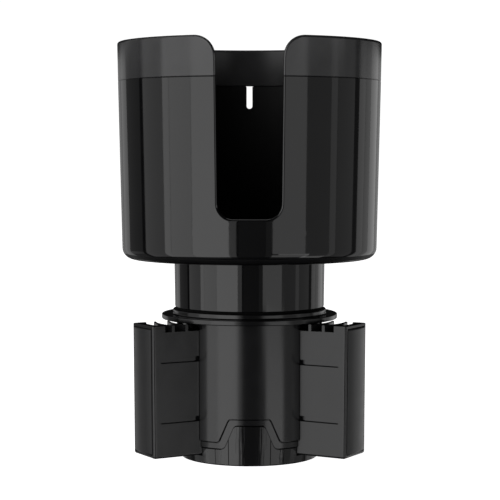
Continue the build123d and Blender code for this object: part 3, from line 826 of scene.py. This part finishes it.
def fin_shell(s):
    """Closed skin of a fin's box: its plan carried from the bottom to the top, with grooves, windows and the
    pad's seat pressed in, over the edge into the pocket and down to the pocket's floor."""
    wall, floor, window, groove_end = 1.5, 1.6, (28.4, 30.2), 45.3
    seat_half, seat_depth, seat_low, seat_high = 7.5, 1.4, s.bottom + 1.2, s.outer_top - 1.1
    plan, out, groove, hole, tall, seat = fin_outline(s, window, groove_end, seat_half)
    top = np.where(tall > 0, s.outer_top, s.side_top)
    low, high, foot, skin = 18.4, 42.25, 0.9, 0.02
    press = groove * s.groove + hole * (wall - s.groove - skin)
    shift = (plan[:, 1] < 0) * s.groove_shift
    levels = [(s.bottom + foot - z, foot - r, 0) for r, z in arc(0, 0, foot, 90, 0, 4)]
    levels += [(seat_low, 0, 0), (seat_low, 0, 2)]
    for middle, moved in ((low, 0 * shift), (high, shift)):
        for rise, inside in ((-1.3, 2), (-0.9, 3), (0.95, 3), (0.95, 2)):
            levels.append((middle + rise - moved, 0, inside))
    levels += [(seat_high, 0, 2), (seat_high, 0, 0)]
    rows = []
    for level, shrink, inside in levels:
        depth = shrink + (inside == 3) * press + (inside >= 2) * seat * seat_depth
        rows.append(np.column_stack([plan - out * depth[:, None], np.minimum(level, top - 0.3)]))
    for drop, shrink in ((0.3, 0.0), (0.09, 0.09), (0.0, 0.3)):
        rows.append(np.column_stack([plan - out * shrink, top - drop]))
    pocket = np.column_stack(
        [
            np.clip(plan[:, 0], s.inner_end + wall, s.reach - seat_depth - wall),
            np.clip(plan[:, 1], wall - s.half_width, s.half_width - wall),
        ]
    )
    rows.append(np.column_stack([pocket, top]))
    rows.append(np.column_stack([pocket, np.full(len(pocket), s.bottom + floor)]))
    grid = leaned(np.stack(rows), s)
    return np.concatenate([grid, grid[:, :1]], axis=1)


def tooth_plate(rest, half, lean, low, high):
    """One tooth: a plate on an arc across the fin, r = rest + lean y - (R - sqrt(R^2 - y^2)), with its upper
    edges cut."""
    arc_radius, thickness, edge = 22.7, 1.2, 0.2
    y = np.linspace(-half, half, 17)
    line = rest + lean * y - (arc_radius - np.sqrt(arc_radius**2 - y**2))
    side = [(low, 0), (high - edge, 0), (high, edge)]
    ring = [(-0.5, *point) for point in side] + [(0.5, *point) for point in side[::-1]]
    rows = []
    for share, z, draw in ring + ring[:1]:
        shift = share * (thickness - 2 * draw)
        rows.append(np.column_stack([line + shift, y, np.full_like(y, z)]))
    body = np.stack(rows)
    return body, [body[:-1, 0], body[:-1, -1]]


class CUPHOLDER_OT_fins(bpy.types.Operator):
    """Builds the three fins: hollow boxes with grooves, windows and teeth that the scroll drives"""

    bl_idname = "cup_holder.fins"
    bl_label = "Fins"

    def execute(self, context):
        s = in_mm(context.scene.cup_holder_fins)
        edge = s.half_width - 0.02
        tip, stub, plain = (4.5, 0.16, 44.0, 55.9), (8.0, 0.16, 43.9, 53.2), (edge, 0.06, 43.9, 55.9)
        teeth = [(rest, *shape) for rest in (23.02, 29.02) for shape in (tip, stub)]
        teeth += [(rest, *plain) for rest in (35.02, 41.02)]
        shell, painted_tops_height = fin_shell(s), 52
        grids, polygons = [shell], [shell[0, :-1], shell[-1, :-1]]
        for tooth in teeth:
            body, ends = tooth_plate(*tooth)
            grids.append(body)
            polygons += ends
        for side in FIN_TURNS:
            placed, ends = ([fin_place(part, side) for part in parts] for parts in (grids, polygons))
            piece = make_piece(f"fin_{side}_moulding", placed, ends)
            settle(piece, f"fin_carrier_{side}", f"fin_{side}", slide_pom())
            # Upward faces of the fins above this height take the darker black of the tops as painted shade
            finish_faces(piece, painted_dark_tops_pom(), lambda r, z, up: (z > painted_tops_height) & (up > 0.7))
        return {"FINISHED"}


class CUPHOLDER_OT_pads(bpy.types.Operator):
    """Builds the three rubber pads: bowed outer faces with round ends, sunk in the fins' seats"""

    bl_idname = "cup_holder.pads"
    bl_label = "Rubber pads"

    def execute(self, context):
        s = in_mm(context.scene.cup_holder_fins)
        half, bulge, stand, edge = s.pad_half, s.pad_bulge, 0.2, 0.8
        base, low, high = s.reach - 1.35, s.bottom + 1.3, s.outer_top - 1.2
        y = np.linspace(-half, half, 33)
        radius = (half**2 + (bulge - stand) ** 2) / (2 * (bulge - stand))
        bow = s.reach + bulge - radius + np.sqrt(radius**2 - y**2)
        turn = np.linspace(0, pi / 2, 7)
        rise = edge * (1 - np.cos(turn))
        heights = np.concatenate([low + rise, np.linspace(12, 48, 7), high - rise[::-1]])
        sink = np.concatenate([edge * (1 - np.sin(turn)), np.zeros(7), edge * (1 - np.sin(turn[::-1]))])
        rows = []
        for z, depth in zip(heights, sink):
            out = np.concatenate([[base], bow - depth, [base]])
            across = np.concatenate([[-half], y, [half]])
            rows.append(np.column_stack([out, across, np.full_like(out, z)]))
        grid = leaned(np.stack(rows), s)
        grid = np.concatenate([grid, grid[:, :1]], axis=1)
        for side in FIN_TURNS:
            placed = fin_place(grid, side)
            piece = make_piece(f"pad_{side}_moulding", [placed], [placed[0, :-1], placed[-1, :-1]])
            settle(piece, f"fin_pad_{side}", f"fin_{side}", pad_rubber())
        return {"FINISHED"}


class CUPHOLDER_OT_inner_parts(bpy.types.Operator):
    """Gives the hidden scroll, the friction washer and the screws of the frame their finishes"""

    bl_idname = "cup_holder.inner_parts"
    bl_label = "Inner parts"

    def execute(self, context):
        finishes = {
            "scroll_disc": slide_pom,
            # The washer's near-black rubber is partly painted shade of the gap under the stem
            "friction_washer": washer_rubber_painted_shade,
            "scroll_screws": zinc_steel,
            "cap_screws": zinc_steel,
        }
        for node, finish in finishes.items():
            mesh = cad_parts[node].data
            mesh.materials.clear()
            mesh.materials.append(finish())
        return {"FINISHED"}


# Studio

# The soft boxes' distance in metres, and the heights of their ground, foot and head. The head is lower on the
# right, and from the foot to the ground they go on at a share of their brightness.
BOX_DISTANCE, GROUND, FOOT, HEAD, RIGHT_HEAD, LOW_SHARE = 2.0, -1.9, -1.1, 1.8, 0.45, 0.08
# Heights at which the reflections in the rim, at the cup's sides and in the base begin or end
RIM_FOOT, RIM_HEAD, EDGE_HEAD, BASE_HEAD, CAP_HEAD = 0.25, 0.62, 0.262, -0.187, -0.42
# Each as the reflections show it: name, first and last angle from the front, foot, head and brightness
SOFT_BOXES = (
    ("left_far_rim", -166.0, -150.5, FOOT, EDGE_HEAD, 0.3),
    ("left_rim", -150.3, -134.5, FOOT, EDGE_HEAD, 0.48),
    ("left_back_dim", -134.3, -109.5, FOOT, HEAD, 0.11),
    ("left_back", -104.6, -80.2, FOOT, HEAD, 0.58),
    ("left_wing", -79.9, -72.8, FOOT, HEAD, 1.6),
    ("left_key_far", -72.6, -51.2, FOOT, HEAD, 1.52),
    ("left_key", -51.0, -17.7, FOOT, HEAD, 1.95),
    ("left_key_edge", -17.5, -11.5, FOOT, HEAD, 0.66),
    ("front_dim", -9.5, 13.7, FOOT, HEAD, 0.058),
    ("right_edge", 14.0, 19.6, FOOT, RIGHT_HEAD, 0.13),
    ("right_fill", 19.9, 50.0, BASE_HEAD, RIGHT_HEAD, 0.97),
    ("right_dim", 50.3, 73.6, FOOT, RIGHT_HEAD, 0.31),
    ("right_strip", 73.9, 81.2, FOOT, RIGHT_HEAD, 0.6),
    ("right_back_dim", 81.5, 102.6, FOOT, RIGHT_HEAD, 0.34),
    ("right_line", 102.8, 109.0, FOOT, RIGHT_HEAD, 0.06),
    ("right_rim_near", 109.3, 120.0, FOOT, EDGE_HEAD, 0.64),
    ("right_rim", 120.2, 130.4, FOOT, EDGE_HEAD, 0.5),
    ("right_rim_bright", 130.6, 150.0, FOOT, EDGE_HEAD, 0.76),
    ("right_far_rim", 150.4, 166.0, FOOT, EDGE_HEAD, 0.35),
    ("base_right_fill", 25.5, 54.0, CAP_HEAD, BASE_HEAD, 1.5),
    ("cap_right_fill", 19.9, 54.0, FOOT, CAP_HEAD, 1.1),
    ("base_right_dim", 55.3, 73.2, -0.5, BASE_HEAD, 0.03),
    ("base_left_back", -134.0, -109.8, -0.5, BASE_HEAD, 0.13),
    ("foot_right", 50.0, 74.0, -1.5, -0.8, 1.1),
    ("rim_left_back", -133.9, -80.0, RIM_FOOT, RIM_HEAD, 0.25),
    ("rim_left_key", -72.9, -20.0, RIM_FOOT, RIM_HEAD, 0.25),
    ("rim_right", 40.9, 88.0, RIM_FOOT, RIM_HEAD, 0.9),
)
# Two square panels overhead: name, place, lean in degrees and brightness
OVERHEAD_SIZE = 0.8
OVERHEAD = (
    ("left_overhead", (-0.7, 0.0, 1.7), (0.0, -22.0, 0.0), 0.5),
    ("back_overhead", (0.1, 0.7, 1.6), (-24.0, 0.0, 0.0), 1.0),
)
# Strengths of the white that the camera sees and of the dim room that the object reflects
WHITE, ROOM = 1.05, 0.008


class CUPHOLDER_OT_stage(bpy.types.Operator):
    """Builds the pale floor, the soft boxes, the white surround and the camera"""

    bl_idname = "cup_holder.stage"
    bl_label = "Studio"

    def execute(self, context):
        scene = context.scene
        floor_mesh = bpy.data.meshes.new("studio_floor")
        half, level = 12.0, -0.0002
        corners = [(-half, -half, level), (half, -half, level), (half, half, level), (-half, half, level)]
        floor_mesh.from_pydata(corners, [], [(0, 1, 2, 3)])
        floor = bpy.data.objects.new("studio_floor", floor_mesh)
        scene.collection.objects.link(floor)
        floor.visible_glossy = floor.visible_diffuse = floor.visible_shadow = False
        floor_mesh.materials.append(self.floor_paint())
        for name, first, last, foot, head, brightness in SOFT_BOXES:
            self.soft_box(scene, name, first, last, (foot, head), brightness)
            if foot == FOOT:
                self.soft_box(scene, name + "_low", first, last, (GROUND, FOOT), brightness * LOW_SHARE)
        for name, place, lean, brightness in OVERHEAD:
            turn = [radians(angle) for angle in lean]
            self.panel(scene, name, place, turn, (OVERHEAD_SIZE, OVERHEAD_SIZE), brightness)
        self.surround(scene)
        # Fitted to the photo: the lens, the distance, the height and the pitch
        camera = bpy.data.objects.new("camera", bpy.data.cameras.new("camera"))
        camera.data.sensor_width = 36.0
        camera.data.lens = 122.64
        camera.data.shift_x = 0.001
        camera.data.clip_start = 0.05
        camera.location = (0.0, -0.6939, 0.1241)
        camera.rotation_euler = (radians(90 - 3.307), 0.0, 0.0)
        scene.collection.objects.link(camera)
        scene.camera = camera
        scene.view_settings.view_transform = "Standard"
        return {"FINISHED"}

    def soft_box(self, scene, name, first, last, span, brightness):
        """Upright panel of light between two angles from the front and two heights"""
        ends = [BOX_DISTANCE * np.array([sin(radians(a)), -cos(radians(a))]) for a in (first, last)]
        place = (*(ends[0] + ends[1]) / 2, sum(span) / 2)
        turn = (pi / 2, 0, radians((first + last) / 2))
        width = float(np.linalg.norm(ends[1] - ends[0]))
        self.panel(scene, name, place, turn, (width, span[1] - span[0]), brightness)

    def panel(self, scene, name, place, turn, size, brightness):
        """Rectangle of light. With the energy E and the area A it shines with the radiance E / (pi A)."""
        light = bpy.data.lights.new(name, "AREA")
        light.shape = "RECTANGLE"
        light.size, light.size_y = size
        light.energy = brightness * pi * light.size * light.size_y
        box = bpy.data.objects.new(name, light)
        box.location, box.rotation_euler = place, turn
        box.visible_camera = False
        scene.collection.objects.link(box)

    def floor_paint(self):
        """Painted board, pale and slightly uneven, with a glow that keeps it white"""
        material, tree, shader, place = new_material("painted_board")
        tone = tones(tree, noise(tree, place, 60), shades().floor, (0.97, 1.0))
        tree.links.new(tone, shader.inputs["Base Color"])
        shader.inputs["Roughness"].default_value = 0.8
        shader.inputs["Emission Color"].default_value = (1.0, 1.0, 1.0, 1.0)
        shader.inputs["Emission Strength"].default_value = WHITE
        return material

    def surround(self, scene):
        """White behind the object, and a dim room round it for its reflections"""
        world = bpy.data.worlds.new("studio")
        scene.world = world
        world.use_nodes = True
        tree = world.node_tree
        tree.nodes.clear()
        ray = add_node(tree, "ShaderNodeLightPath").outputs["Is Camera Ray"]
        mixed = add_node(tree, "ShaderNodeMixShader", [("Fac", ray)])
        for socket, strength in ((1, ROOM), (2, WHITE)):
            sky = [("Color", (1.0, 1.0, 1.0, 1.0)), ("Strength", strength)]
            tree.links.new(add_node(tree, "ShaderNodeBackground", sky).outputs[0], mixed.inputs[socket])
        out = add_node(tree, "ShaderNodeOutputWorld")
        tree.links.new(mixed.outputs[0], out.inputs["Surface"])


OPERATORS = (
    CUPHOLDER_OT_stage,
    CUPHOLDER_OT_cup,
    CUPHOLDER_OT_rim,
    CUPHOLDER_OT_cover,
    CUPHOLDER_OT_housing,
    CUPHOLDER_OT_cap,
    CUPHOLDER_OT_fins,
    CUPHOLDER_OT_pads,
    CUPHOLDER_OT_inner_parts,
)
GROUPS = {
    "cup_holder_cup": CupHolderCupSizes,
    "cup_holder_base": CupHolderBaseSizes,
    "cup_holder_fins": CupHolderFinSizes,
    "cup_holder_colours": CupHolderColours,
}


class CUPHOLDER_PT_panel(bpy.types.Panel):
    """Lists the sizes, the colours and the pieces"""

    bl_idname = "CUPHOLDER_PT_panel"
    bl_label = "Cup Holder"
    bl_space_type = "VIEW_3D"
    bl_region_type = "UI"
    bl_category = "Cup Holder"

    def draw(self, context):
        for group in GROUPS:
            box = self.layout.box()
            for name in GROUPS[group].__annotations__:
                box.prop(getattr(context.scene, group), name)
        for operator in OPERATORS:
            self.layout.operator(operator.bl_idname)


def register():
    for group, kind in GROUPS.items():
        bpy.utils.register_class(kind)
        setattr(bpy.types.Scene, group, bpy.props.PointerProperty(type=kind))
    for kind in (*OPERATORS, CUPHOLDER_PT_panel):
        bpy.utils.register_class(kind)


def unregister():
    for kind in (CUPHOLDER_PT_panel, *reversed(OPERATORS)):
        bpy.utils.unregister_class(kind)
    for group, kind in reversed(GROUPS.items()):
        delattr(bpy.types.Scene, group)
        bpy.utils.unregister_class(kind)


def main():
    """Registers the add-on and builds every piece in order."""
    register()
    for operator in OPERATORS:
        family, name = operator.bl_idname.split(".")
        getattr(getattr(bpy.ops, family), name)()


if __name__ == "__main__":
    main()
